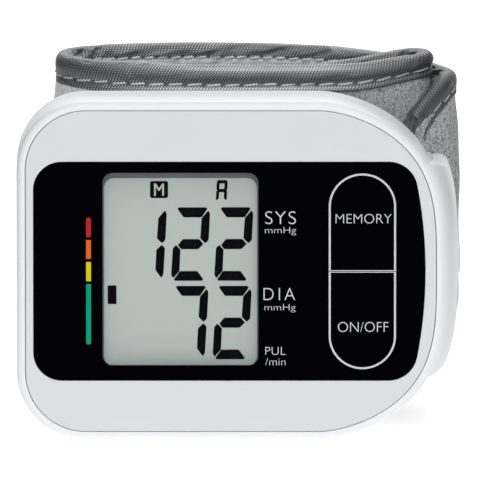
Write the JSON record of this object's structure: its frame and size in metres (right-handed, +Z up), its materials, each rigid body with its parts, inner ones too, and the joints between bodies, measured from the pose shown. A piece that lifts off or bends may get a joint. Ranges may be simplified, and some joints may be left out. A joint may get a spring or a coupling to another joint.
{
  "type": "wrist blood pressure monitor",
  "caption": "Wrist blood pressure monitor: rounded case with a display window and keys on its face, a battery cover on its side and a rolled padded fabric cuff behind it.",
  "frame": {"origin": "middle of the bounding box on the surface that the monitor stands on", "axes": "+Z up, the face with the display looks along -Y, +X to the right of the face, where the battery cover is"},
  "size_m": [0.0842, 0.0538, 0.0697],
  "materials": {
    "white_shell": "glossy white moulding",
    "grey_face": "satin light grey moulding",
    "black_panel": "high gloss black",
    "clear_window": "clear polished",
    "lcd": "grey-green display",
    "dark_plastic": "dark grey moulding",
    "board": "green lacquer",
    "steel": "plated steel",
    "cell_sleeve": "printed sleeve",
    "silicone": "clear silicone tube",
    "rubber": "soft rubber",
    "loop_fabric": "brushed light grey loop fabric",
    "woven_fabric": "dark grey woven nylon"
  },
  "bodies": {
    "monitor": {"front_housing": "white_shell", "rear_housing": "white_shell", "face_plate": "grey_face", "front_panel": "black_panel", "display_window": "clear_window", "lcd_glass": "lcd", "lcd_frame": "dark_plastic", "memory_switch": "dark_plastic", "power_switch": "dark_plastic", "controller_chip": "dark_plastic", "pressure_sensor": "dark_plastic", "buzzer": "dark_plastic", "pump_head": "dark_plastic", "air_manifold": "dark_plastic", "cuff_mount": "dark_plastic", "cuff_stiffener": "dark_plastic", "hook_patch": "dark_plastic", "main_board": "board", "contact_plus": "steel", "contact_minus": "steel", "pump_motor": "steel", "exhaust_valve": "steel", "case_screw_1": "steel", "case_screw_2": "steel", "case_screw_3": "steel", "case_screw_4": "steel", "board_screw_1": "steel", "board_screw_2": "steel", "battery_1": "cell_sleeve", "battery_2": "cell_sleeve", "pump_tube": "silicone", "valve_tube": "silicone", "sensor_tube": "silicone", "zebra_strip_top": "rubber", "zebra_strip_bottom": "rubber", "cuff_bladder": "rubber", "cuff_laminate": "loop_fabric", "cuff_lining": "woven_fabric", "cuff_binding": "woven_fabric"},
    "memory_key": {"memory_button": "black_panel", "memory_plunger": "dark_plastic"},
    "power_key": {"power_button": "black_panel", "power_plunger": "dark_plastic"},
    "battery_door": {"battery_cover": "white_shell", "contact_bridge": "steel"}
  },
  "joints": [
    {"name": "memory_press", "type": "slide", "parent": "monitor", "child": "memory_key", "axis": [0, 1, 0], "range_m": [0, 0.0005], "stiffness_N_per_m": 3200},
    {"name": "power_press", "type": "slide", "parent": "monitor", "child": "power_key", "axis": [0, 1, 0], "range_m": [0, 0.0005], "stiffness_N_per_m": 3200},
    {"name": "battery_cover_off", "type": "slide", "parent": "monitor", "child": "battery_door", "axis": [1, 0, 0], "range_m": [0, 0.02]}
  ]
}
